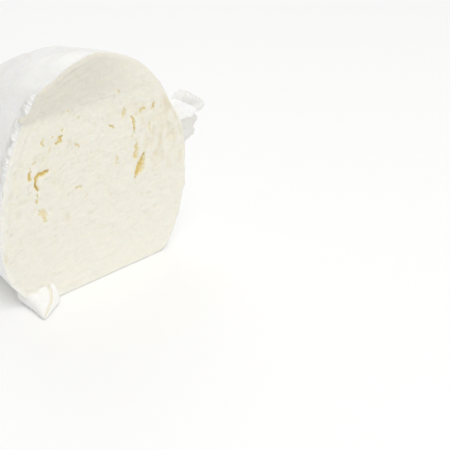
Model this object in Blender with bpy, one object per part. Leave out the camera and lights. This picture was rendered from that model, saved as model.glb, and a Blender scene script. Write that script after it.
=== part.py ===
"""A large soft mozzarella ball with one end cut away, as one solid.

The cut face looks along -Y and the rounded end points along +Y.  The body is a
settled ball: each upright section is rounder above its belly than below it, and
its underside is flat where it lies on the table.  Two torn shreds of skin stand
out at the right of the cut, and a small tongue is left at its lower left corner.
Metres, +Z up, with the origin at the bottom centre of the bounding box.
"""
from math import cos, pi, sin

import bmesh
import bpy
from mathutils import Vector

# ---- driving dimensions: the upright section at the cut -------------------------------
CROWN_HEIGHT = 0.0651     # top of the cut above the table
LEFT_HALF = 0.0326        # crown line to the widest point on the left
RIGHT_HALF = 0.0307       # crown line to the widest point on the right
LEFT_BELLY = 0.0194       # height of the widest point on the left
RIGHT_BELLY = 0.0275      # height of the widest point on the right
SINK = 0.0050             # how much of the round underside is pressed flat
HEEL = 0.0015             # how softly the flat underside turns into the side

# Fullness of the four quarters of the section: 2 is an ellipse, more is squarer.
LEFT_UPPER, LEFT_LOWER = 1.95, 2.6
RIGHT_UPPER, RIGHT_LOWER = 1.88, 2.4

# ---- driving dimensions: front to back ------------------------------------------------
DEPTH = 0.0560            # cut plane to the far end
LEAD = 0.0200             # the widest section lay this far in front of the cut
END_HEIGHT = 0.0290       # height of the far end's tip
SIDE_FULLNESS = 2.2       # how the width, the crown and the underside close to the tip
CROWN_FULLNESS = 2.1
UNDERSIDE_FULLNESS = 3.8

# ---- driving dimensions: the cut ------------------------------------------------------
CUT_HEART = Vector((0.0, 0.0, 0.0310))   # middle of the cut
DISH = 0.0014             # the knife left the cut hollow by this much
FLARE = 0.0022            # the cut runs forward at its foot by this much
FLARE_HEIGHT = 0.0140     # and starts to at this height

# ---- driving dimensions: torn bits ----------------------------------------------------
# Outlines on the upright plane of the cut, from the crown line and the table: x, z.
UPPER_SHRED = ((0.0240, 0.0470), (0.0300, 0.0480), (0.0345, 0.0462), (0.0392, 0.0418),
               (0.0398, 0.0394), (0.0370, 0.0372), (0.0330, 0.0368), (0.0240, 0.0372))
LOWER_SHRED = ((0.0240, 0.0376), (0.0315, 0.0376), (0.0345, 0.0344), (0.0340, 0.0322),
               (0.0352, 0.0296), (0.0318, 0.0268), (0.0240, 0.0276))
SHRED_THICKNESS = 0.0018
UPPER_SHRED_BACK = 0.0036  # middle of each shred behind the cut plane
LOWER_SHRED_BACK = 0.0050
SHRED_LEAN = 0.12          # how far a shred leans back for each metre it reaches out
TORN_EDGE = 0.0004         # rounding of the torn bits' edges

# Outline of the tongue on the table: x, y.
TONGUE = ((-0.0262, 0.0060), (-0.0262, -0.0010), (-0.0252, -0.0072), (-0.0234, -0.0080),
          (-0.0205, -0.0050), (-0.0180, 0.0000), (-0.0170, 0.0060))
TONGUE_HEIGHT = 0.0042
TONGUE_TAPER = 0.55        # its free end is lower by this share

# ---- facets ---------------------------------------------------------------------------
AROUND = 88                # points round a section
BACK_ROWS = 24             # sections from the rim of the cut to the tip
CUT_RINGS = 9              # rings from the rim of the cut to its middle


def power(value, exponent):
    """A signed power, so that both halves of a wave keep their side."""
    return abs(value) ** exponent * (1.0 if value >= 0.0 else -1.0)


def section(turn):
    """Point of the round section at the cut before it is pressed flat, as x and z."""
    across, rise = cos(turn), sin(turn)
    right = across >= 0.0
    half = RIGHT_HALF if right else LEFT_HALF
    belly = RIGHT_BELLY if right else LEFT_BELLY
    if rise >= 0.0:
        fullness = RIGHT_UPPER if right else LEFT_UPPER
        reach = CROWN_HEIGHT - belly
    else:
        fullness = RIGHT_LOWER if right else LEFT_LOWER
        reach = belly + SINK
    return half * power(across, 2.0 / fullness), belly + reach * power(rise, 2.0 / fullness)


def closing(along, fullness):
    """Share of the cut's size that is left at this share of the way to the tip."""
    start = LEAD / (DEPTH + LEAD)
    now = start + (1.0 - start) * along
    return ((1.0 - min(now, 1.0) ** fullness) / (1.0 - start ** fullness)) ** (1.0 / fullness)


def press_flat(height):
    """Heights below the table come up to it, through a short soft heel."""
    if height <= -HEEL:
        return 0.0
    if height >= HEEL:
        return height
    return (height + HEEL) ** 2 / (4.0 * HEEL)


def rim_lead(height):
    """How far the rim of the cut stands in front of the cut plane."""
    return FLARE * max(0.0, 1.0 - height / FLARE_HEIGHT) ** 2


def skin_point(turn, along):
    """Point of the skin, from the rim of the cut (along 0) to the tip (along 1)."""
    x, z = section(turn)
    fullness = CROWN_FULLNESS if z >= END_HEIGHT else UNDERSIDE_FULLNESS
    z_here = END_HEIGHT + (z - END_HEIGHT) * closing(along, fullness)
    front = -rim_lead(press_flat(z))
    return Vector((x * closing(along, SIDE_FULLNESS),
                   front + (DEPTH - front) * along,
                   press_flat(z_here)))


def cut_point(turn, outward):
    """Point of the cut face, from its middle (outward 0) to its rim (outward 1)."""
    point = CUT_HEART.lerp(skin_point(turn, 0.0), outward)
    point.y = DISH * (1.0 - outward ** 2) - rim_lead(point.z)
    return point


def ring_of(mesh, place):
    """A closed ring of vertices, one for each turn of the section."""
    return [mesh.verts.new(place(2.0 * pi * (step + 0.5) / AROUND)) for step in range(AROUND)]


def bridge(mesh, near, far):
    """Quads between two neighbouring rings."""
    for step in range(AROUND):
        after = (step + 1) % AROUND
        mesh.faces.new((near[step], near[after], far[after], far[step]))


def cap(mesh, ring, tip):
    """Triangles from a ring to a single point."""
    for step in range(AROUND):
        mesh.faces.new((ring[step], ring[(step + 1) % AROUND], tip))


def add_object(name, mesh, material):
    """Turn a finished bmesh into a smooth-shaded object with its material."""
    bmesh.ops.recalc_face_normals(mesh, faces=mesh.faces)
    data = bpy.data.meshes.new(name)
    mesh.to_mesh(data)
    mesh.free()
    data.materials.append(material)
    data.shade_smooth()
    data.set_sharp_from_angle(angle=pi / 4.0)
    made = bpy.data.objects.new(name, data)
    bpy.context.scene.collection.objects.link(made)
    return made


def make_body(material):
    """The ball's remainder: its dished cut, its skin and its flat underside."""
    mesh = bmesh.new()
    rows = []
    for row in range(BACK_ROWS):
        along = sin(0.5 * pi * row / BACK_ROWS)
        rows.append(ring_of(mesh, lambda turn: skin_point(turn, along)))
    for near, far in zip(rows, rows[1:]):
        bridge(mesh, near, far)
    cap(mesh, rows[-1], mesh.verts.new((0.0, DEPTH, END_HEIGHT)))

    outer = rows[0]
    for ring in range(CUT_RINGS - 1, 0, -1):
        inner = ring_of(mesh, lambda turn: cut_point(turn, ring / CUT_RINGS))
        bridge(mesh, outer, inner)
        outer = inner
    heart = CUT_HEART + Vector((0.0, DISH, 0.0))
    cap(mesh, outer, mesh.verts.new(heart))
    return add_object("cheese", mesh, material)


def make_shred(name, outline, back, material):
    """A torn leaf of skin, standing out from behind the rim of the cut."""
    mesh = bmesh.new()
    root = outline[0][0]
    front = [mesh.verts.new((x, back + SHRED_LEAN * (x - root) - SHRED_THICKNESS / 2.0, z))
             for x, z in outline]
    leaf = mesh.faces.new(front)
    grown = bmesh.ops.extrude_face_region(mesh, geom=[leaf])
    far = [item for item in grown["geom"] if isinstance(item, bmesh.types.BMVert)]
    bmesh.ops.translate(mesh, verts=far, vec=(0.0, SHRED_THICKNESS, 0.0))
    return add_object(name, mesh, material)


def make_tongue(name, material):
    """A low tongue left on the table in front of the cut's lower left corner."""
    mesh = bmesh.new()
    length = TONGUE[0][1] - min(y for _, y in TONGUE)
    foot = [mesh.verts.new((x, y, 0.0)) for x, y in TONGUE]
    top = []
    for x, y in TONGUE:
        free = (TONGUE[0][1] - y) / length
        top.append(mesh.verts.new((x, y, TONGUE_HEIGHT * (1.0 - TONGUE_TAPER * free))))
    mesh.faces.new(foot)
    mesh.faces.new(top)
    for step in range(len(TONGUE)):
        after = (step + 1) % len(TONGUE)
        mesh.faces.new((foot[step], foot[after], top[after], top[step]))
    return add_object(name, mesh, material)


def join_on(body, bit):
    """Grow a torn bit onto the body, so that both are one solid."""
    bevel = bit.modifiers.new("torn edge", "BEVEL")
    bevel.width = TORN_EDGE
    bevel.segments = 2
    union = body.modifiers.new(bit.name, "BOOLEAN")
    union.operation = "UNION"
    union.object = bit
    bit.hide_render = True
    bit.display_type = "WIRE"


def shift_to_origin(body):
    """The move that puts the bottom centre of the finished body's box on the origin."""
    bpy.context.view_layer.update()
    finished = body.evaluated_get(bpy.context.evaluated_depsgraph_get())
    corners = [Vector(corner) for corner in finished.bound_box]
    low = Vector(min(corner[axis] for corner in corners) for axis in range(3))
    high = Vector(max(corner[axis] for corner in corners) for axis in range(3))
    return -Vector(((low.x + high.x) / 2.0, (low.y + high.y) / 2.0, low.z))


def curd_material():
    """Fresh white curd."""
    material = bpy.data.materials.new("white curd")
    material.use_nodes = True
    shader = material.node_tree.nodes["Principled BSDF"]
    shader.inputs["Base Color"].default_value = (0.84, 0.81, 0.72, 1.0)
    shader.inputs["Roughness"].default_value = 0.45
    shader.inputs["Metallic"].default_value = 0.0
    return material


def main():
    for old in list(bpy.data.objects):
        bpy.data.objects.remove(old, do_unlink=True)
    material = curd_material()
    body = make_body(material)
    bits = (make_shred("upper_shred", UPPER_SHRED, UPPER_SHRED_BACK, material),
            make_shred("lower_shred", LOWER_SHRED, LOWER_SHRED_BACK, material),
            make_tongue("tongue", material))
    for bit in bits:
        join_on(body, bit)
    shift = shift_to_origin(body)
    for piece in (body, *bits):
        piece.location = shift


main()
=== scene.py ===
"""A cut mozzarella ball on a pale table in soft studio light.

The curd and its skin are one closed mesh, laid over the CAD solid by the same
shape rules: a dished, crumbly cut face and a smooth, settled skin.  Torn shreds,
the tongue at the foot and the fibres along the rim are pieces of their own.
Shapes are worked out in millimetres from the crown line, the cut plane and the
table, and put into the frame at the end.
"""
from math import cos, pi, radians, sin

import bmesh
import bpy
import numpy as np
from mathutils import Matrix, Vector


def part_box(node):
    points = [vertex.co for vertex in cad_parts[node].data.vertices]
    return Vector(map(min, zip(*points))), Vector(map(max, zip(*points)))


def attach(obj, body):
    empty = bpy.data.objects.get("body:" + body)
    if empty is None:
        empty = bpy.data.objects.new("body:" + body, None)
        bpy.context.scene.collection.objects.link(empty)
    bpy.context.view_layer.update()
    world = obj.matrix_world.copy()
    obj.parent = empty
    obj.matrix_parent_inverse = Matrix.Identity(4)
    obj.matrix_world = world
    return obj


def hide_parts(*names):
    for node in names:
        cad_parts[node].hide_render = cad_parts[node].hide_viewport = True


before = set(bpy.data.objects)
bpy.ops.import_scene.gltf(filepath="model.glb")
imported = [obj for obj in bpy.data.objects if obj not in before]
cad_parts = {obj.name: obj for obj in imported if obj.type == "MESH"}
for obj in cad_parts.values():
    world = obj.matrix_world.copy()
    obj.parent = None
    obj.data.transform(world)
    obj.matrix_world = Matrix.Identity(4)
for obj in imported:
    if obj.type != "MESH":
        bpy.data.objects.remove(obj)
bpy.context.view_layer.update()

MM = 0.001
low, high = (np.array(corner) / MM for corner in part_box("cheese"))

# ---- the ball, in millimetres, as the solid has it -------------------------------------
CROWN_HEIGHT = high[2] - low[2]
LEFT_HALF, RIGHT_HALF = 32.6, 30.7       # crown line to the widest point on each side
LEFT_BELLY, RIGHT_BELLY = 19.4, 27.5     # height of the widest point on each side
SINK, HEEL = 5.0, 1.5                    # flattening of the underside
UPPER_FULLNESS = (1.95, 1.88)            # left and right
LOWER_FULLNESS = (2.6, 2.4)
DEPTH, LEAD = 56.0, 20.0
END_HEIGHT = 29.0
SIDE_FULLNESS, CROWN_FULLNESS, UNDERSIDE_FULLNESS = 2.2, 2.1, 3.8
HEART = np.array((0.0, 0.0, 31.0))       # middle of the cut
DISH = 1.4
FLARE, FLARE_HEIGHT = 2.2, 14.0

# Where the rim strays from the even section: turn, half width in turn, how far outward.
RIM_STRAYS = ((2.12, 0.09, 1.0), (1.57, 0.06, 0.3), (1.25, 0.14, -0.4), (0.52, 0.20, -1.0),
              (-0.06, 0.04, -0.3), (-0.23, 0.04, 0.5), (-0.32, 0.04, -0.3))

# Where the crown line meets the cut plane at the table, in the frame.
CORNER = np.array((low[0] + LEFT_HALF, high[1] - DEPTH, low[2]))


# ======================================================================================
# Shape rules
# ======================================================================================
def signed_power(value, exponent):
    return np.sign(value) * np.abs(value) ** exponent


def smooth(edge0, edge1, value):
    """0 before the first edge, 1 after the second, easing between them."""
    share = np.clip((value - edge0) / (edge1 - edge0), 0.0, 1.0)
    return share * share * (3.0 - 2.0 * share)


def section(turn):
    """Round section at the cut before it is pressed flat: x and z."""
    across, rise = np.cos(turn), np.sin(turn)
    right, upper = across >= 0.0, rise >= 0.0
    half = np.where(right, RIGHT_HALF, LEFT_HALF)
    belly = np.where(right, RIGHT_BELLY, LEFT_BELLY)
    fullness = np.where(upper, np.where(right, UPPER_FULLNESS[1], UPPER_FULLNESS[0]),
                        np.where(right, LOWER_FULLNESS[1], LOWER_FULLNESS[0]))
    reach = np.where(upper, CROWN_HEIGHT - belly, belly + SINK)
    return (half * signed_power(across, 2.0 / fullness),
            belly + reach * signed_power(rise, 2.0 / fullness))


def closing(along, fullness):
    """Share of the cut's size left at this share of the way to the far end."""
    start = LEAD / (DEPTH + LEAD)
    now = np.minimum(start + (1.0 - start) * along, 1.0)
    return ((1.0 - now ** fullness) / (1.0 - start ** fullness)) ** (1.0 / fullness)


def press_flat(height):
    heel = (height + HEEL) ** 2 / (4.0 * HEEL)
    return np.where(height <= -HEEL, 0.0, np.where(height >= HEEL, height, heel))


def rim_lead(height):
    """How far the cut stands in front of the cut plane at its foot."""
    return FLARE * np.maximum(0.0, 1.0 - height / FLARE_HEIGHT) ** 2


def rim_stray(turn):
    """How far the torn rim stands out from the even section."""
    return sum(out * np.exp(-((turn - middle) / width) ** 2) for middle, width, out in RIM_STRAYS)


def skin_points(turn, along):
    x, z = section(turn)
    fullness = np.where(z >= END_HEIGHT, CROWN_FULLNESS, UNDERSIDE_FULLNESS)
    height = END_HEIGHT + (z - END_HEIGHT) * closing(along, fullness)
    front = -rim_lead(press_flat(z))
    points = np.stack((x * closing(along, SIDE_FULLNESS),
                       front + (DEPTH - front) * along,
                       press_flat(height)), axis=-1)
    outward = np.stack((x, np.zeros_like(x), z - HEART[2]), axis=-1)
    outward /= np.linalg.norm(outward, axis=-1, keepdims=True)
    return points + outward * (rim_stray(turn) * (1.0 - along) ** 5)[:, None]


def cut_points(turn, outward):
    rim = skin_points(turn, np.zeros_like(turn))
    points = HEART + (rim - HEART) * outward[:, None]
    points[:, 1] = DISH * (1.0 - outward ** 2) - rim_lead(points[:, 2])
    return points


# ======================================================================================
# Repeatable unevenness
# ======================================================================================
PRIMES = np.array((73856093, 19349663, 83492791), dtype=np.int64)
CUBE_CORNERS = np.array([(i, j, k) for i in (0, 1) for j in (0, 1) for k in (0, 1)])


def scatter(cells, seed):
    """A repeatable value from -1 to 1 for each whole-numbered cell."""
    mixed = (cells.astype(np.int64) * PRIMES).sum(axis=-1) + seed * 2654435761
    mixed = (mixed ^ (mixed >> 13)) * 1274126177
    mixed = (mixed ^ (mixed >> 16)) & 0xFFFF
    return mixed / 32767.5 - 1.0


def lumps(points, size, seed):
    """Smooth unevenness from about -1 to 1, with lumps of this size along each axis."""
    scaled = points / np.asarray(size, dtype=float)
    cell = np.floor(scaled)
    within = scaled - cell
    ease = within ** 3 * (within * (within * 6.0 - 15.0) + 10.0)
    total = np.zeros(len(points))
    for corner in CUBE_CORNERS:
        offset = within - corner
        weight = np.prod(np.where(corner, ease, 1.0 - ease), axis=-1)
        slopes = [scatter(cell + corner, seed + 101 * axis) for axis in range(3)]
        total += weight * sum(slopes[axis] * offset[:, axis] for axis in range(3))
    return total * 1.6


def layered_lumps(points, size, seed, octaves=3):
    total, gain = np.zeros(len(points)), 1.0
    for octave in range(octaves):
        total += gain * lumps(points, np.asarray(size) / 2.0 ** octave, seed + 7 * octave)
        gain *= 0.5
    return total


# ======================================================================================
# Mesh building
# ======================================================================================
class Grid:
    """A sheet of quads with this many steps each way."""

    def __init__(self, across, along):
        i, j = (grid.ravel() for grid in np.meshgrid(np.arange(across + 1),
                                                     np.arange(along + 1), indexing="ij"))
        self.across = i / across
        self.along = j / along
        index = np.arange((across + 1) * (along + 1)).reshape(across + 1, along + 1)
        self.quads = np.stack((index[:-1, :-1], index[1:, :-1], index[1:, 1:],
                               index[:-1, 1:]), axis=-1).reshape(-1, 4)
        self.rim = (i == 0) | (i == across) | (j == 0) | (j == along)


class Disc(Grid):
    """A round sheet of even quads: ring k holds 8k points, and there is no pole."""

    def __init__(self, rings):
        super().__init__(2 * rings, 2 * rings)
        i, j = (np.rint(part * 2 * rings) - rings for part in (self.across, self.along))
        ring = np.maximum(np.abs(i), np.abs(j))
        safe = np.maximum(ring, 1)
        quarter = np.select(
            [(i == ring) & (j > -ring), (j == ring), (i == -ring)],
            [j / safe, 2.0 - i / safe, 4.0 - j / safe], 6.0 + i / safe)
        self.turn = quarter * pi / 4.0
        self.share = ring / rings


def closed_pair(grid, front, back):
    """Two sheets over one grid, welded at the rim into a closed body."""
    count = len(front)
    moved = np.where(grid.rim, np.arange(count), 0)
    inner = ~grid.rim
    moved[inner] = count + np.arange(inner.sum())
    points = np.concatenate((front, back[inner]))
    quads = np.concatenate((grid.quads, moved[grid.quads][:, ::-1]))
    return points, quads, inner


def new_mesh(name, points, faces, **values):
    """Mesh object data from points, faces and one number per point for each value."""
    mesh = bpy.data.meshes.new(name)
    mesh.from_pydata(points.tolist(), [], faces.tolist())
    for key, numbers in values.items():
        layer = mesh.attributes.new(key, "FLOAT", "POINT")
        layer.data.foreach_set("value", np.asarray(numbers, dtype=np.float32))
    return mesh


def read_points(mesh):
    flat = np.empty(len(mesh.vertices) * 3, dtype=np.float32)
    mesh.vertices.foreach_get("co", flat)
    return flat.reshape(-1, 3).astype(float)


def read_normals(mesh):
    flat = np.empty(len(mesh.vertices) * 3, dtype=np.float32)
    mesh.vertex_normals.foreach_get("vector", flat)
    return flat.reshape(-1, 3).astype(float)


def read_value(mesh, key):
    numbers = np.empty(len(mesh.vertices), dtype=np.float32)
    mesh.attributes[key].data.foreach_get("value", numbers)
    return numbers.astype(float)


def write_value(mesh, key, numbers):
    layer = mesh.attributes.get(key) or mesh.attributes.new(key, "FLOAT", "POINT")
    layer.data.foreach_set("value", np.asarray(numbers, dtype=np.float32))


def write_points(mesh, points):
    mesh.vertices.foreach_set("co", points.astype(np.float32).ravel())
    mesh.update()


def place(name, mesh, material):
    """Put a millimetre mesh into the frame as a smooth piece that rides on the root."""
    write_points(mesh, (read_points(mesh) + CORNER) * MM)
    fixer = bmesh.new()
    fixer.from_mesh(mesh)
    bmesh.ops.recalc_face_normals(fixer, faces=fixer.faces)
    fixer.to_mesh(mesh)
    fixer.free()
    mesh.materials.append(material)
    mesh.shade_smooth()
    piece = bpy.data.objects.new(name, mesh)
    bpy.context.scene.collection.objects.link(piece)
    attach(piece, "root")
    return piece


# ======================================================================================
# Hollows in the cut face: open cracks and soft pits between the stretched curds
# ======================================================================================
class Hollow:
    """A crack or scoop in the cut: points of x, z and half width along its deepest line.

    Its left wall is steep.  Its right wall can be drawn out by the spread.
    """

    def __init__(self, points, depth, ochre=1.0, spread=1.0):
        self.points = np.array(points, dtype=float)
        if len(self.points) == 1:
            self.points = np.repeat(self.points, 2, axis=0)
            self.points[1, 1] -= 0.05
        self.depth = depth
        # ochre: how much painted ochre shade the hollow gets.
        self.ochre = ochre
        self.spread = spread

    def reach(self, flat):
        """How far out each point of the cut is, in half widths from the deepest line."""
        best = np.full(len(flat), 1e9)
        for first, second in zip(self.points[:-1], self.points[1:]):
            span = second[:2] - first[:2]
            offset = flat - first[:2]
            share = np.clip(offset @ span / (span @ span), 0.0, 1.0)
            gap = offset - share[:, None] * span
            half = first[2] + (second[2] - first[2]) * share
            half = half * np.where(gap[:, 0] > 0.0, self.spread, 1.0)
            best = np.minimum(best, np.hypot(gap[:, 0], gap[:, 1]) / half)
        return best

    def near(self, flat, margin):
        """Points no further than the margin from the hollow's edge."""
        widest = self.points[:, 2].max()
        return self.reach(flat) * widest < widest + margin


HOLLOWS = (
    # the hooked crack on the left, and the dashes that carry it on downwards
    Hollow(((-15.8, 36.7, 0.40), (-17.1, 36.3, 0.55), (-18.6, 36.3, 0.50), (-19.5, 35.8, 0.45),
            (-19.9, 34.6, 0.32), (-20.0, 33.5, 0.32), (-19.4, 32.2, 0.34)), 1.6),
    Hollow(((-19.7, 30.9, 0.28), (-19.9, 30.2, 0.24)), 0.7, 0.75),
    Hollow(((-20.0, 29.4, 0.30), (-19.9, 28.5, 0.22)), 0.7, 0.75),
    # its neighbour to the left, with the small dashes above
    Hollow(((-21.3, 37.9, 0.26), (-21.8, 37.0, 0.42), (-21.6, 35.8, 0.24)), 1.3, 0.9, 1.4),
    Hollow(((-21.3, 39.0, 0.24),), 0.5, 0.5),
    Hollow(((-19.3, 40.3, 0.24), (-20.2, 40.0, 0.18)), 0.5, 0.5),
    Hollow(((-21.3, 40.2, 0.18),), 0.3, 0.3),
    Hollow(((-16.7, 40.6, 0.18), (-17.1, 39.7, 0.16)), 0.3, 0.35),
    # the cluster above the hook
    Hollow(((-12.3, 43.6, 0.46), (-11.2, 43.8, 0.54), (-11.4, 44.6, 0.44), (-10.5, 44.8, 0.36)),
           1.2, 0.85),
    Hollow(((-10.4, 46.5, 0.34), (-10.5, 45.9, 0.20)), 0.5, 0.5),
    Hollow(((-13.5, 45.6, 0.27),), 0.5, 0.7),
    Hollow(((-16.6, 46.0, 0.18), (-17.0, 44.9, 0.40), (-16.5, 43.9, 0.22)), 0.7, 0.6),
    Hollow(((-14.5, 43.0, 0.18), (-15.0, 41.9, 0.22)), 0.6, 0.45),
    Hollow(((-8.5, 43.0, 0.30),), 0.3, 0.3),
    Hollow(((-6.4, 41.2, 0.24), (-5.9, 40.8, 0.22), (-5.3, 40.0, 0.18)), 0.6, 0.55),
    # single specks
    Hollow(((-8.3, 51.3, 0.26),), 0.5, 0.6),
    Hollow(((-4.9, 48.5, 0.30),), 0.5, 0.4),
    Hollow(((-2.5, 33.3, 0.28),), 0.4, 0.35),
    Hollow(((7.9, 52.9, 0.20), (8.1, 52.0, 0.20)), 0.4, 0.4),
    Hollow(((5.3, 43.0, 0.32), (6.5, 42.3, 0.22)), 0.8, 0.8),
    Hollow(((-7.2, 28.4, 0.20), (-6.3, 28.5, 0.24), (-5.3, 28.0, 0.22)), 0.6, 0.55),
    # the cracks on the right
    Hollow(((12.7, 43.7, 0.26), (13.2, 41.3, 0.24), (13.5, 39.4, 0.26)), 0.9, 0.75, 1.3),
    Hollow(((13.3, 39.0, 0.18), (12.6, 37.7, 0.30)), 0.5, 0.5),
    Hollow(((14.1, 43.9, 0.26),), 0.4, 0.4),
    Hollow(((10.3, 46.3, 0.28), (10.0, 44.8, 0.46)), 0.5, 0.40, 1.3),
    Hollow(((15.5, 44.3, 0.30), (16.1, 44.9, 0.20)), 0.6, 0.6),
    Hollow(((16.9, 45.1, 0.34),), 0.7, 0.7),
    Hollow(((20.1, 45.8, 0.26), (19.6, 44.2, 0.32)), 0.8, 0.75),
    Hollow(((18.7, 40.3, 0.20), (18.4, 38.2, 0.28)), 0.4, 0.4, 1.5),
    # the two scoops below them, steep on the left and drawn out on the right
    Hollow(((13.7, 34.5, 0.28), (13.5, 33.0, 0.34), (13.1, 31.4, 0.34)), 0.9, 0.62, 2.6),
    Hollow(((16.1, 31.0, 0.18), (14.9, 29.2, 0.42), (14.0, 27.6, 0.54), (12.8, 25.4, 0.22)),
           2.0, 0.90, 3.2),
    Hollow(((7.0, 33.3, 0.26), (7.2, 32.1, 0.18), (6.7, 30.9, 0.18)), 0.5, 0.35),
    Hollow(((6.3, 30.1, 0.18), (5.2, 29.2, 0.16)), 0.3, 0.25),
    # the pocket low on the left
    Hollow(((-19.6, 25.2, 0.40), (-18.4, 24.6, 0.45), (-18.2, 22.8, 0.35)), 0.9, 0.45, 2.6),
)

# Shallow dents: middle x and z, half sizes, depth, how much beige painted shade they get.
DENTS = (
    ((10.2, 45.5), (1.0, 1.6), 0.35, 0.55),
    ((-10.7, 20.8), (0.9, 1.6), 0.30, 0.45),
    ((19.9, 36.3), (1.0, 3.2), 0.45, 0.55),
    ((22.3, 29.2), (1.0, 2.4), 0.35, 0.45),
    ((25.5, 35.0), (1.2, 3.6), 0.30, 0.50),
    ((-31.4, 16.0), (0.7, 2.2), 0.35, 0.70),
    ((-24.0, 30.0), (2.4, 0.9), 0.20, 0.30),
)


# ======================================================================================
# Material tools
# ======================================================================================
class Wire:
    """A socket in a material that takes part in sums and products."""

    def __init__(self, finish, socket):
        self.finish = finish
        self.socket = socket

    def __add__(self, other):
        return self.finish.math("ADD", self, other)

    def __sub__(self, other):
        return self.finish.math("SUBTRACT", self, other)

    def __rsub__(self, other):
        return self.finish.math("SUBTRACT", other, self)

    def __mul__(self, other):
        return self.finish.math("MULTIPLY", self, other)

    __radd__ = __add__
    __rmul__ = __mul__


class Finish:
    """A material's node tree, built by adding nodes that feed one another."""

    def __init__(self, name):
        self.material = bpy.data.materials.new(name)
        self.material.use_nodes = True
        self.tree = self.material.node_tree
        self.tree.nodes.clear()

    def add(self, kind, settings=None, sockets=None, output=0):
        """A node of this kind: its settings first, then its sockets' values or links."""
        node = self.tree.nodes.new(kind)
        for key, value in (settings or {}).items():
            setattr(node, key, value)
        for key, value in (sockets or {}).items():
            self.feed(node.inputs[key], value)
        return Wire(self, node.outputs[output])

    def feed(self, socket, value):
        if isinstance(value, Wire):
            self.tree.links.new(value.socket, socket)
        elif socket.type == "RGBA" and len(value) == 3:
            socket.default_value = (*value, 1.0)
        else:
            socket.default_value = value

    def math(self, operation, first, second, clamp=False):
        return self.add("ShaderNodeMath", {"operation": operation, "use_clamp": clamp},
                        {0: first, 1: second})

    def clamped(self, value):
        return self.math("ADD", value, 0.0, clamp=True)

    def step(self, value, start, end):
        """0 before start, 1 after end, easing between them."""
        return self.add("ShaderNodeMapRange", {"interpolation_type": "SMOOTHSTEP"},
                        {"Value": value, "From Min": start, "From Max": end})

    def mix(self, share, first, second):
        """The first colour where the share is 0, the second where it is 1."""
        return self.add("ShaderNodeMix", {"data_type": "RGBA"},
                        {0: share, 6: first, 7: second}, output=2)

    def value(self, name):
        return self.add("ShaderNodeAttribute", {"attribute_name": name}, output=2)

    def place(self, stretch=(1.0, 1.0, 1.0), turn=(0.0, 0.0, 0.0)):
        """Position in the frame in millimetres, stretched and turned."""
        where = self.add("ShaderNodeTexCoord", output=3)
        return self.add("ShaderNodeMapping", {"vector_type": "TEXTURE"}, {
            "Vector": where, "Rotation": turn,
            "Scale": tuple(MM * size for size in stretch)})

    def noise(self, size, stretch=(1.0, 1.0, 1.0), turn=(0.0, 0.0, 0.0), detail=3.0,
              roughness=0.5, distortion=0.0):
        """Soft noise from 0 to 1 with lumps of this size in millimetres."""
        return self.add("ShaderNodeTexNoise", None, {
            "Vector": self.place(tuple(size * part for part in stretch), turn),
            "Scale": 1.0, "Detail": detail, "Roughness": roughness,
            "Distortion": distortion})

    def finish(self, constants, links):
        """The Principled shader: fixed values on its sockets, then what varies."""
        shader = self.tree.nodes.new("ShaderNodeBsdfPrincipled")
        for key, value in {**constants, **links}.items():
            self.feed(shader.inputs[key], value)
        output = self.tree.nodes.new("ShaderNodeOutputMaterial")
        self.tree.links.new(shader.outputs[0], output.inputs[0])
        return self.material


RIPPLE_TURN = radians(-18.0)      # the knife dragged the curd up to the right
CURD_CREAM = (0.872, 0.840, 0.726)
CURD_PALE = (0.898, 0.874, 0.780)
CURD_PAINTED_SHADE = (0.770, 0.740, 0.645)
CURD_BEIGE = (0.810, 0.745, 0.570)
CURD_OCHRE = (0.820, 0.660, 0.230)
SKIN_WHITE = (0.968, 0.958, 0.920)
SKIN_COOL = (0.940, 0.932, 0.892)
SKIN_GREY = (0.800, 0.797, 0.765)
TORN_WHITE = (0.970, 0.968, 0.955)
SHRED_SHADE_TONE = (0.790, 0.775, 0.715)
SHRED_GREY = (0.850, 0.845, 0.820)
SHRED_PALE = (0.920, 0.918, 0.895)
MOIST = {"IOR": 1.40, "Subsurface Weight": 0.4, "Subsurface Radius": (1.0, 0.85, 0.6),
         "Subsurface Scale": 0.0005, "Coat Roughness": 0.20, "Coat IOR": 1.36}
THIN = {**MOIST, "Subsurface Weight": 0.2, "Subsurface Scale": 0.00015,
        "Subsurface Radius": (1.0, 0.95, 0.85)}


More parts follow.
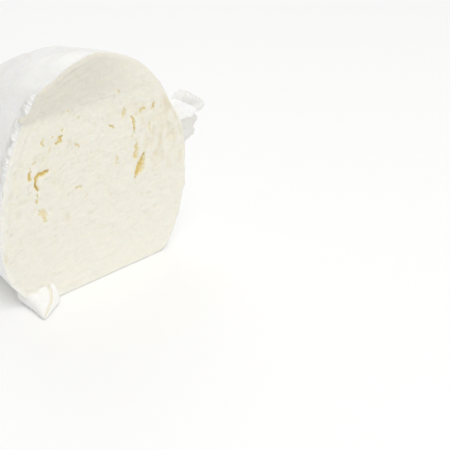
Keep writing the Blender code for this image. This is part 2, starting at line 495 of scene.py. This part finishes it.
def curd_and_skin():
    """Ivory curd on the cut, turning to smooth white skin round the rim."""
    finish = Finish("curd and skin")
    from_rim = finish.value("from_rim")
    hollow = finish.value("hollow")
    beige_shade = finish.value("beige_shade")
    upper = finish.value("upper")
    painted_dent_shade = finish.value("painted_dent_shade")
    foot = finish.value("foot")
    band = finish.value("band")
    broad = finish.noise(11.0, detail=4.0)
    mottle = finish.noise(2.4, detail=6.0, roughness=0.6)
    streak = finish.noise(1.6, (5.0, 1.0, 0.8), detail=4.0, roughness=0.55)
    speck = finish.noise(0.5, detail=2.0)

    cream = finish.mix(finish.step(mottle, 0.30, 0.70), CURD_CREAM, CURD_PALE)
    cream = finish.mix(finish.step(streak, 0.50, 0.75) * 0.12, cream, CURD_BEIGE)
    cream = finish.mix(finish.step(broad, 0.50, 0.80) * 0.12, cream, CURD_BEIGE)
    # Painted light: the lower part of the cut is paler, standing in for light thrown up from the
    # table.
    cream = finish.mix(foot * 0.6, cream, CURD_PALE)
    # Painted shade: the cut above the ledge, leaning away from the light, is greyed in its
    # colour.
    cream = finish.mix(upper * (0.60 + mottle * 0.6), cream, CURD_PAINTED_SHADE)
    cream = finish.mix(band * (0.5 + mottle * 0.5), cream, SKIN_COOL)
    # Painted shade: beige darkening in the dents, crumb pits and folds, where shade falls.
    cream = finish.mix(finish.clamped(beige_shade * (0.6 + mottle * 0.8)), cream, CURD_BEIGE)
    # Painted shade: ochre darkening in the cracks, standing in for the shade and scattered light
    # deep inside them.
    cream = finish.mix(finish.clamped(hollow), cream, CURD_OCHRE)
    cream = finish.mix(finish.step(speck, 0.62, 0.80) * 0.20, cream, CURD_PALE)
    white = finish.mix(finish.step(broad, 0.35, 0.70), SKIN_WHITE, SKIN_COOL)
    white = finish.mix(finish.step(streak, 0.45, 0.75) * 0.25, white, SKIN_GREY)
    # Painted shade: the skin is greyed in its dents, where shade falls.
    white = finish.mix(finish.clamped(painted_dent_shade * (0.7 + mottle * 0.6)), white, SKIN_GREY)
    edge = finish.step(from_rim + (mottle - 0.5) * 0.8, -0.40, 0.25)
    colour = finish.mix(edge, cream, white)

    grain = finish.noise(0.75, detail=5.0, roughness=0.6)
    crumb = finish.noise(2.4, detail=3.0, roughness=0.5)
    ripple = finish.noise(0.8, (4.5, 1.0, 1.0), turn=(0.0, RIPPLE_TURN, 0.0), detail=4.0,
                          roughness=0.55, distortion=0.4)
    curd_bump = (grain - 0.5) * 0.45 + (crumb - 0.5) * 0.5 + (ripple - 0.5) * 0.6
    skin_bump = finish.noise(1.8, (1.0, 2.5, 1.0), detail=5.0, roughness=0.55)
    height = curd_bump * (1.0 - edge) + (skin_bump - 0.5) * edge * 0.3
    bump = finish.add("ShaderNodeBump", None,
                      {"Strength": 1.0, "Distance": 0.00045, "Height": height})
    return finish.finish(MOIST, {
        "Base Color": colour,
        "Roughness": 0.55 - edge * 0.18 + (mottle - 0.5) * 0.12,
        "Coat Weight": edge * 0.30,
        "Normal": bump,
    })


def torn_skin(name, tone, pale):
    """Thin skin pulled off in shreds: white, wet and slightly see-through."""
    finish = Finish(name)
    streak = finish.noise(1.1, (1.0, 1.0, 3.0), turn=(0.0, 0.6, 0.0), detail=5.0, roughness=0.6)
    broad = finish.noise(3.0, detail=3.0)
    colour = finish.mix(finish.step(streak, 0.35, 0.65), tone, pale)
    colour = finish.mix(finish.step(broad, 0.45, 0.75) * 0.35, colour, CURD_PALE)
    # Painted shade: ochre in the creases, from the hollow value.
    colour = finish.mix(finish.clamped(finish.value("hollow")), colour, CURD_OCHRE)
    bump = finish.add("ShaderNodeBump", None,
                      {"Strength": 0.7, "Distance": 0.0004, "Height": streak})
    return finish.finish(THIN, {
        "Base Color": colour,
        "Roughness": 0.30 + streak * 0.20,
        "Coat Weight": 0.20 + broad * 0.20,
        "Normal": bump,
    })


# ======================================================================================
# The pieces
# ======================================================================================
RINGS = 96
FINE_MARGINS = (0.55, 0.15)              # the quads are halved this far round each hollow
RAGGED_EDGE = 0.35                       # unevenness of a hollow's edge, in half widths
WANDER = 0.34                            # how far the hollows stray from their drawn lines
OPENING, SHALLOWING = 1.25, 0.55         # the hollows gape wider and less deep than drawn
FOLD_DEPTH, FOLD_BEIGE = 0.38, 0.75
LEDGE_HEIGHT = 51.4      # the knife changed angle here: above it the cut leans forward
LEDGE_LEAN = 0.085       # by this much for each millimetre up
CRUMB_PITS = 190
PIT_DEPTH, PIT_BEIGE = (0.10, 0.28), 0.45
RIM_LAYERS = ((1.5, 0.35, 0.16), (3.6, 0.45, 0.12), (6.0, 0.6, 0.09))  # inside, width, depth
TAB_PLACE = np.array((-21.6, 53.2))      # a lip of curd sticks out of the rim here
TAB_HALF = np.array((2.6, 1.3))
TAB_REACH = np.array((-2.0, -0.5, 0.1))
WRINKLE_DEPTH, WRINKLE_WIDTH = 0.22, 0.07
SETTLING, DIMPLING, PUCKERING = 0.42, 0.16, 0.07   # heights of broad, middling, fine unevenness
# The skin dents are also greyed with painted shade.
SKIN_DENTS = (                           # height, distance behind the cut, size, depth
    (47.6, 2.3, 1.5, 0.50), (45.8, 2.9, 1.6, 0.45), (41.6, 3.2, 2.2, 0.45),
    (38.0, 3.0, 2.0, 0.35), (49.4, 1.6, 0.9, 0.30),
)


def ring_distance(turn):
    """Rough distance from the middle of the cut to its rim."""
    rim = skin_points(turn, np.zeros_like(turn))
    return np.linalg.norm((rim - HEART)[:, (0, 2)], axis=-1)


def skin_reach(share):
    """How far along the skin a ring lies: rows crowd together towards the rim."""
    return (1.0 - share) ** 1.25


def refine_near_hollows(mesh, margin):
    """Cut the quads near each hollow into smaller ones, so that its walls are crisp."""
    flat = read_points(mesh)[:, (0, 2)]
    near = np.zeros(len(flat), dtype=bool)
    for hollow in HOLLOWS:
        near |= hollow.near(flat, margin)
    near &= read_value(mesh, "from_rim") < -0.5
    fine = bmesh.new()
    fine.from_mesh(mesh)
    edges = [edge for edge in fine.edges
             if near[edge.verts[0].index] and near[edge.verts[1].index]]
    bmesh.ops.subdivide_edges(fine, edges=edges, cuts=1, use_grid_fill=True)
    fine.to_mesh(mesh)
    fine.free()


def upright(flat):
    """The cut's x and z as points in space, for the noise."""
    return np.column_stack((flat[:, 0], np.zeros(len(flat)), flat[:, 1]))


def hollow_out(flat):
    """Depth of the hollows and dents, and how much ochre and beige painted shade they get."""
    plane = upright(flat)
    ragged = RAGGED_EDGE * lumps(plane, 0.5, 31)
    wander = [WANDER * layered_lumps(plane, 1.2, seed, 3) for seed in (32, 33)]
    flat = flat + np.column_stack(wander)
    depth, ochre, beige = (np.zeros(len(flat)) for _ in range(3))
    for hollow in HOLLOWS:
        reach = hollow.reach(flat) / OPENING + ragged
        depth = np.maximum(depth, SHALLOWING * hollow.depth * smooth(1.25, 0.0, reach))
        ochre = np.maximum(ochre, hollow.ochre * smooth(1.30, 0.35, reach))
    for middle, half, dent_depth, dent_beige in DENTS:
        reach = np.hypot((flat[:, 0] - middle[0]) / half[0], (flat[:, 1] - middle[1]) / half[1])
        fall = smooth(1.4, 0.1, reach + 0.8 * ragged)
        depth += dent_depth * fall
        beige = np.maximum(beige, dent_beige * fall)
    pit_depth, pit_beige = crumb_pits(flat)
    fold_depth, fold_beige = right_folds(plane)
    beige = np.maximum.reduce((beige, pit_beige, fold_beige))
    return np.maximum(depth, pit_depth) + fold_depth, ochre, beige


def right_folds(plane):
    """Soft upright folds between the stretched curds on the right of the cut."""
    wave = lumps(plane + 0.8 * lumps(plane, 4.0, 35)[:, None], (2.3, 1.0, 6.5), 34)
    where = smooth(11.0, 19.0, plane[:, 0]) * smooth(22.0, 29.0, plane[:, 2])
    where *= smooth(50.0, 44.0, plane[:, 2])
    fold = where * np.clip(0.2 + 1.5 * wave, 0.0, 1.0)
    # The beige in the folds is painted shade.
    return FOLD_DEPTH * fold, FOLD_BEIGE * fold


def crumb_pits(flat):
    """Small open pits scattered over the cut, where crumbs of curd came away."""
    rng = np.random.default_rng(5)
    depth, beige = np.zeros(len(flat)), np.zeros(len(flat))
    for _ in range(CRUMB_PITS):
        middle = np.array((rng.uniform(-30.0, 28.0), rng.uniform(12.0, 54.0)))
        half = rng.uniform(0.25, 0.75) * np.array((1.0, rng.uniform(0.6, 1.5)))
        reach = np.hypot(*((flat - middle) / half).T)
        fall = smooth(1.3, 0.2, reach)
        depth = np.maximum(depth, rng.uniform(*PIT_DEPTH) * fall)
        # The beige in the pits is painted shade.
        beige = np.maximum(beige, rng.uniform(0.0, PIT_BEIGE) * fall)
    return depth, beige


def knife_relief(flat, from_rim):
    """Raised and sunken parts of the cut: lumps, knife drag, layers near the rim, ledge; also the
    mask of painted shade on the cut above the ledge.
    """
    plane = upright(flat)
    relief = 0.24 * layered_lumps(plane, 8.0, 11, 3)
    relief += 0.14 * layered_lumps(plane, 2.4, 12, 3)
    relief += 0.06 * layered_lumps(plane, (9.0, 1.0, 1.0), 13, 2)
    radius = np.hypot(flat[:, 0] - HEART[0], flat[:, 1] - HEART[2])
    angle = np.arctan2(flat[:, 1] - HEART[2], flat[:, 0] - HEART[0])
    rings = np.column_stack((radius, np.cos(angle) * 9.0, np.sin(angle) * 9.0))
    outer = smooth(-14.0, -2.0, from_rim)
    relief += outer * (0.10 * lumps(rings, (2.6, 3.0, 3.0), 14) +
                       0.06 * lumps(rings, (1.0, 2.5, 2.5), 15))
    left = smooth(4.0, -10.0, flat[:, 0])
    for inside, width, depth in RIM_LAYERS:
        drift = 0.5 * lumps(rings, (50.0, 2.5, 2.5), 17)
        relief -= left * depth * np.exp(-((from_rim + inside + drift) / width) ** 2)
    ledge = LEDGE_HEIGHT + 0.9 * lumps(plane, (9.0, 1.0, 40.0), 16)
    above = flat[:, 1] - ledge
    relief += LEDGE_LEAN * np.maximum(above, 0.0) + 0.25 * smooth(-0.1, 0.9, above)
    # The painted shade above the ledge has a sharp lower edge on the left and a softer one
    # further right, and fades out to the right.
    soft = 1.0 + 3.0 * smooth(-22.0, -6.0, flat[:, 0])
    return relief, smooth(-1.0, 1.0, above / soft) * smooth(19.0, -3.0, flat[:, 0])


def carve_cut(mesh):
    """Raise and hollow the cut face, and leave each point's colour clues on the mesh, painted
    shade and painted light among them.
    """
    points, normals = read_points(mesh), read_normals(mesh)
    from_rim = read_value(mesh, "from_rim")
    on_cut = smooth(0.1, -0.8, from_rim)
    flat = points[:, (0, 2)]
    depth, ochre, beige = hollow_out(flat)
    relief, upper = knife_relief(flat, from_rim)
    push = (relief - depth) * on_cut
    points += normals * push[:, None]
    tab = smooth(1.0, 0.15, np.hypot(*((flat - TAB_PLACE) / TAB_HALF).T))
    tab *= smooth(2.0, 0.8, from_rim)
    points += TAB_REACH * tab[:, None]
    write_points(mesh, points)
    write_value(mesh, "from_rim", from_rim - 2.0 * tab)
    # upper carries the mask of the painted shade above the ledge.
    write_value(mesh, "upper", upper)
    # foot carries the mask of the painted light low on the cut.
    write_value(mesh, "foot", smooth(36.0, 14.0, flat[:, 1]))
    write_value(mesh, "band", 0.6 * smooth(-2.8, -0.8, from_rim) *
                smooth(-12.0, -22.0, flat[:, 0]) * smooth(50.0, 42.0, flat[:, 1]))
    # hollow carries the painted ochre shade of the cracks.
    write_value(mesh, "hollow", ochre * on_cut)
    # The beige painted shade of dents, pits and folds.
    write_value(mesh, "beige_shade", beige * on_cut)


def settle_skin(mesh):
    """Soft unevenness of the skin, which dies out on the table and at the rim, and the mask of
    painted shade in its dents.
    """
    points, normals = read_points(mesh), read_normals(mesh)
    from_rim = read_value(mesh, "from_rim")
    on_skin = smooth(0.0, 2.5, from_rim) * smooth(0.2, 3.0, points[:, 2])
    relief = SETTLING * layered_lumps(points, 16.0, 21, 2)
    relief += PUCKERING * layered_lumps(points, 3.5, 22, 2)
    behind = smooth(7.0, 22.0, from_rim)
    relief += behind * DIMPLING * layered_lumps(points, 6.0, 26, 2)
    fold = lumps(points + 2.0 * lumps(points, 9.0, 28)[:, None], (12.0, 16.0, 7.0), 27)
    relief -= behind * WRINKLE_DEPTH * np.exp(-(fold / WRINKLE_WIDTH) ** 2)
    near_rim = smooth(-0.6, 0.0, from_rim) * smooth(3.2, 0.6, from_rim)
    torn_side = smooth(-16.0, -22.0, points[:, 0]) * smooth(26.0, 34.0, points[:, 2])
    curl = np.maximum(layered_lumps(points, (1.6, 1.8, 1.6), 24, 2), -0.2)
    relief += near_rim * (0.10 * lumps(points, 1.4, 23) + torn_side * 0.55 * curl)
    on_skin = np.maximum(on_skin, near_rim * smooth(0.2, 2.0, points[:, 2]))
    painted_dent_shade = np.zeros(len(points))
    for height, behind, size, depth in SKIN_DENTS:
        gap = np.hypot(points[:, 2] - height, from_rim - behind) / size
        dent = smooth(1.2, 0.1, gap + 0.3 * lumps(points, 0.9, 25))
        dent *= smooth(0.0, -9.0, points[:, 0])
        relief -= dent * depth
        painted_dent_shade = np.maximum(painted_dent_shade, dent)
    points += normals * (relief * on_skin)[:, None]
    points[:, 2] = np.maximum(points[:, 2], 0.0)
    write_points(mesh, points)
    write_value(mesh, "painted_dent_shade", painted_dent_shade)


def make_cheese(material):
    disc = Disc(RINGS)
    cut = cut_points(disc.turn, disc.share)
    skin = skin_points(disc.turn, skin_reach(disc.share))
    points, quads, inner = closed_pair(disc, cut, skin)
    inward = (disc.share - 1.0) * ring_distance(disc.turn)
    outward = skin[:, 1] - cut_points(disc.turn, np.ones_like(disc.turn))[:, 1]
    from_rim = np.concatenate((inward, outward[inner]))
    mesh = new_mesh("cheese_curd", points, quads, from_rim=from_rim)
    for margin in FINE_MARGINS:
        refine_near_hollows(mesh, margin)
    carve_cut(mesh)
    settle_skin(mesh)
    return place("cheese_curd", mesh, material)


# ---- torn bits -------------------------------------------------------------------------
def closed_curve(outline, turn):
    """Point at each turn of a smooth closed curve through the outline's points."""
    outline = np.array(outline, dtype=float)
    count = len(outline)
    place_on = turn / (2.0 * pi) * count
    start = np.floor(place_on).astype(int)
    t = (place_on - start)[:, None]
    before, here, after, beyond = (outline[(start + step) % count] for step in (-1, 0, 1, 2))
    return 0.5 * (2.0 * here + (after - before) * t +
                  (2.0 * before - 5.0 * here + 4.0 * after - beyond) * t ** 2 +
                  (3.0 * here - before - 3.0 * after + beyond) * t ** 3)


def make_scrap(name, outline, depth_at, thickness, material, seed, rings=26, ragged=0.25):
    """A thin torn scrap over an upright outline of x and z, bent by depth_at."""
    disc = Disc(rings)
    edge = closed_curve(outline, disc.turn)
    middle = np.mean(np.array(outline), axis=0)
    tear = 3.0 * np.column_stack((np.cos(disc.turn), np.sin(disc.turn), np.zeros_like(disc.turn)))
    fray = 1.0 + ragged * 0.25 * layered_lumps(tear, 0.7, seed, 3) * disc.share ** 3
    flat = middle + (edge - middle) * (disc.share * fray)[:, None]
    plane = upright(flat)
    waves = 0.30 * layered_lumps(plane, 3.2, seed + 1, 3)
    depth = depth_at(flat[:, 0], flat[:, 1]) + waves
    half = 0.5 * thickness * np.sqrt(np.clip(1.0 - disc.share ** 2.5, 0.0, 1.0))
    half *= 1.0 + 0.35 * lumps(plane, 1.8, seed + 2)
    front = np.column_stack((flat[:, 0], depth - half, flat[:, 1]))
    back = np.column_stack((flat[:, 0], depth + half, flat[:, 1]))
    points, quads, _ = closed_pair(disc, front, back)
    mesh = new_mesh(name, points, quads)
    return place(name, mesh, material)


BACK_SCRAP = ((26.0, 41.8), (29.8, 43.8), (31.3, 44.9), (34.4, 44.4), (38.4, 41.9), (43.1, 37.8),
              (41.4, 35.6), (37.6, 36.9), (33.0, 38.4), (27.0, 38.8))
FRONT_SCRAP = ((25.0, 43.0), (29.0, 43.8), (32.2, 42.2), (35.6, 40.0), (37.6, 38.2), (34.8, 37.0),
               (31.6, 37.4), (28.6, 36.6), (25.0, 38.0))
LOWER_SCRAP = ((25.0, 38.4), (31.0, 38.6), (35.4, 38.0), (39.4, 34.6), (38.6, 32.2), (39.6, 29.0),
               (35.6, 27.0), (26.0, 28.0))


def make_shreds():
    """Three leaves of skin hang from the right side: two above, the third below in shade. They
    are lit, middling and shaded copies of one torn skin, with light and shade painted into their
    tones.
    """
    # Painted light and painted shade: the lit shred is paler and the shaded one greyer, after how
    # light falls on each.
    pale = torn_skin("lit shred", SHRED_PALE, TORN_WHITE)
    middle = torn_skin("hanging shred", SHRED_GREY, SHRED_PALE)
    shaded_tone = torn_skin("shaded shred", SHRED_SHADE_TONE, SHRED_GREY)
    make_scrap("back_scrap", BACK_SCRAP, back_bend, 1.2, middle, 41)
    make_scrap("front_scrap", FRONT_SCRAP, front_bend, 1.1, pale, 42)
    make_scrap("lower_scrap", LOWER_SCRAP, lower_bend, 1.0, shaded_tone, 43)


def back_bend(x, z):
    return 3.4 + 0.10 * (x - 28.0) + 0.03 * (z - 41.0) ** 2


def front_bend(x, z):
    return 2.0 + 0.25 * (z - 40.0) + 0.06 * (x - 28.0)


def lower_bend(x, z):
    return 3.0 - 0.35 * (z - 35.0) + 0.10 * (x - 28.0)


TONGUE = ((-17.4, 4.0), (-20.0, 6.5), (-25.0, 6.5), (-27.4, 3.6), (-27.5, 0.0), (-27.3, -4.0),
          (-27.5, -7.2), (-27.3, -9.2), (-25.6, -8.6), (-22.8, -7.0), (-19.8, -5.2),
          (-17.8, -1.8))
TONGUE_MIDDLE = np.array((-22.6, -0.5))
TONGUE_CREASE = Hollow(((-19.4, 1.5, 0.6), (-20.4, -2.4, 0.50), (-22.4, -5.4, 0.36),
                        (-25.2, -7.6, 0.28), (-27.2, -9.0, 0.20)), 0.8, 0.4)
TONGUE_FOLD = Hollow(((-27.0, -0.9, 0.2), (-24.6, -1.4, 0.40), (-22.6, -0.9, 0.25)), 0.2, 0.25)


def make_tongue(material):
    """A low tongue of skin left on the table in front of the lower left corner."""
    disc = Disc(40)
    edge = closed_curve(TONGUE, disc.turn)
    flat = TONGUE_MIDDLE + (edge - TONGUE_MIDDLE) * disc.share[:, None]
    ground = np.column_stack((flat, np.zeros(len(flat))))
    slope = np.clip((6.0 - flat[:, 1]) / 15.0, 0.0, 1.0)
    crown = 0.4 + 0.6 * np.sqrt(np.clip(1.0 - disc.share ** 6.0, 0.0, 1.0))
    height = (6.4 - 4.8 * slope) * crown
    height += 0.16 * layered_lumps(ground, 3.0, 51, 3) * crown
    ochre = np.zeros(len(flat))
    for crease in (TONGUE_CREASE, TONGUE_FOLD):
        reach = crease.reach(flat) + 0.3 * lumps(ground, 0.9, 52)
        height -= crease.depth * smooth(1.6, 0.0, reach) * crown
        # The ochre along the creases is painted shade.
        ochre = np.maximum(ochre, 0.6 * crease.ochre * smooth(1.3, 0.2, reach))
    top = np.column_stack((flat, np.maximum(height, 0.05)))
    under = np.column_stack((flat, 0.02 + 0.35 * height * disc.share ** 12))
    points, quads, inner = closed_pair(disc, top, under)
    mesh = new_mesh("tongue", points, quads,
                    hollow=np.concatenate((ochre, np.zeros(inner.sum()))))
    return place("tongue", mesh, material)


RIM_TURN = 30.0          # millimetres of rim for each unit of turn, near enough
FRINGE_HALF = 0.11       # half the thickness of the torn edge at its root

# Torn fringe along the rim: turn from and to, longest fringe, spike spacing, lift, seed.
FRINGES = (
    (2.120, 2.310, 4.6, 0.70, 0.45, 71),
    (2.130, 2.305, 3.2, 0.55, 0.80, 72),
    (2.325, 2.410, 4.2, 0.65, 0.70, 73),
    (2.395, 2.460, 3.4, 0.60, 0.80, 78),
    (2.485, 2.550, 2.8, 0.60, 0.60, 74),
    (2.570, 2.645, 2.4, 0.60, 0.60, 79),
    (2.700, 3.200, 1.5, 0.90, 0.25, 75),
)


def make_fringe(name, start, end, longest, spike, lift, seed, material):
    """A thin spiky strip of torn skin lying back from the rim of the cut."""
    grid = Grid(60 + round((end - start) * 600.0), 8)
    turn = start + (end - start) * grid.across
    rim = skin_points(turn, np.zeros_like(turn))
    middle = rim - HEART
    middle[:, 1] = 0.0
    out = middle / np.linalg.norm(middle, axis=1)[:, None]
    along_rim = np.column_stack((turn * RIM_TURN, np.zeros(len(turn)), np.zeros(len(turn))))
    tuft = np.clip(0.65 + 0.6 * lumps(along_rim, 2.6, seed), 0.0, 1.0)
    spikes = np.clip(1.1 - 2.8 * np.abs(lumps(along_rim, spike, seed + 20)), 0.0, 1.0)
    ends = smooth(0.0, 0.15, grid.across) * smooth(1.0, 0.85, grid.across)
    reach = longest * (0.10 + tuft * (0.15 + 0.85 * spikes)) * ends
    back = grid.along * reach - 0.15
    sideways = 0.5 * lumps(along_rim, 1.5, seed + 60) * grid.along * reach
    points = skin_points(turn + sideways / RIM_TURN, np.maximum(back, 0.0) / DEPTH)
    rise = (lift * (0.3 + tuft) * ends * smooth(0.0, 0.6, grid.along) +
            0.08 * lumps(along_rim, 0.6, seed + 80) * grid.along)
    points += out * (rise - 0.10 * (1.0 - grid.along))[:, None]
    points[:, 1] += np.minimum(back, 0.0)
    half = FRINGE_HALF * (1.0 - 0.7 * grid.along) * (1.0 - (2.0 * grid.across - 1.0) ** 8)
    body, quads, _ = closed_pair(grid, points + out * half[:, None], points - out * half[:, None])
    return place(name, new_mesh(name, body, quads), material)


# ======================================================================================
# Table, light and camera
# ======================================================================================
AZIMUTH, ELEVATION = radians(-43.0), radians(29.0)
LENS = 85.0
DISTANCE = 0.287
AIM_RIGHT, AIM_DOWN = 0.0355, 0.0143      # the view leaves room at the right of the ball


def view_axes(azimuth, elevation):
    back = Vector((sin(azimuth) * cos(elevation), -cos(azimuth) * cos(elevation), sin(elevation)))
    right = Vector((cos(azimuth), sin(azimuth), 0.0))
    return right, back.cross(right), back


def make_camera():
    right, up, back = view_axes(AZIMUTH, ELEVATION)
    face = Vector(((CORNER + np.array((-2.0, 0.0, 32.0))) * MM).tolist())
    aim = face + AIM_RIGHT * right - AIM_DOWN * up
    data = bpy.data.cameras.new("camera")
    data.lens = LENS
    data.sensor_width = 36.0
    data.clip_start = 0.01
    camera = bpy.data.objects.new("camera", data)
    camera.location = aim + DISTANCE * back
    camera.rotation_euler = Matrix((right, up, back)).transposed().to_euler()
    bpy.context.scene.collection.objects.link(camera)
    bpy.context.scene.camera = camera


def make_table():
    finish = Finish("pale table")
    grain = finish.noise(6.0, detail=3.0)
    colour = finish.mix(grain, (0.98, 0.98, 0.975), (0.99, 0.99, 0.985))
    material = finish.finish({"Roughness": 0.6}, {"Base Color": colour})
    mesh = bpy.data.meshes.new("table")
    reach = 3.0
    mesh.from_pydata([(-reach, -reach, 0.0), (reach, -reach, 0.0), (reach, reach, 0.0),
                      (-reach, reach, 0.0)], [], [(0, 1, 2, 3)])
    mesh.materials.append(material)
    table = bpy.data.objects.new("table", mesh)
    table.location.z = -0.0001
    bpy.context.scene.collection.objects.link(table)


def make_lamp(name, azimuth, elevation, distance, size, watts):
    right, up, back = view_axes(radians(azimuth), radians(elevation))
    data = bpy.data.lights.new(name, "AREA")
    data.shape = "SQUARE"
    data.size = size
    data.energy = watts
    lamp = bpy.data.objects.new(name, data)
    lamp.location = Vector((0.0, 0.0, 0.03)) + distance * back
    lamp.rotation_euler = Matrix((right, up, back)).transposed().to_euler()
    bpy.context.scene.collection.objects.link(lamp)


def make_light():
    world = bpy.data.worlds.new("studio")
    world.use_nodes = True
    world.node_tree.nodes["Background"].inputs["Color"].default_value = (1.0, 1.0, 1.0, 1.0)
    world.node_tree.nodes["Background"].inputs["Strength"].default_value = 0.65
    bpy.context.scene.world = world
    make_lamp("overhead softbox", 0.0, 58.0, 1.0, 0.9, 4.4)
    make_lamp("back softbox", 150.0, 40.0, 1.0, 0.6, 1.0)
    bpy.context.scene.view_settings.view_transform = "Standard"


make_camera()
make_table()
make_light()
cheese = make_cheese(curd_and_skin())
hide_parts("cheese")
make_shreds()
fresh_skin = torn_skin("torn skin edge", SKIN_COOL, TORN_WHITE)
make_tongue(fresh_skin)
for number, fringe in enumerate(FRINGES):
    make_fringe(f"fringe_{number + 1}", *fringe, fresh_skin)
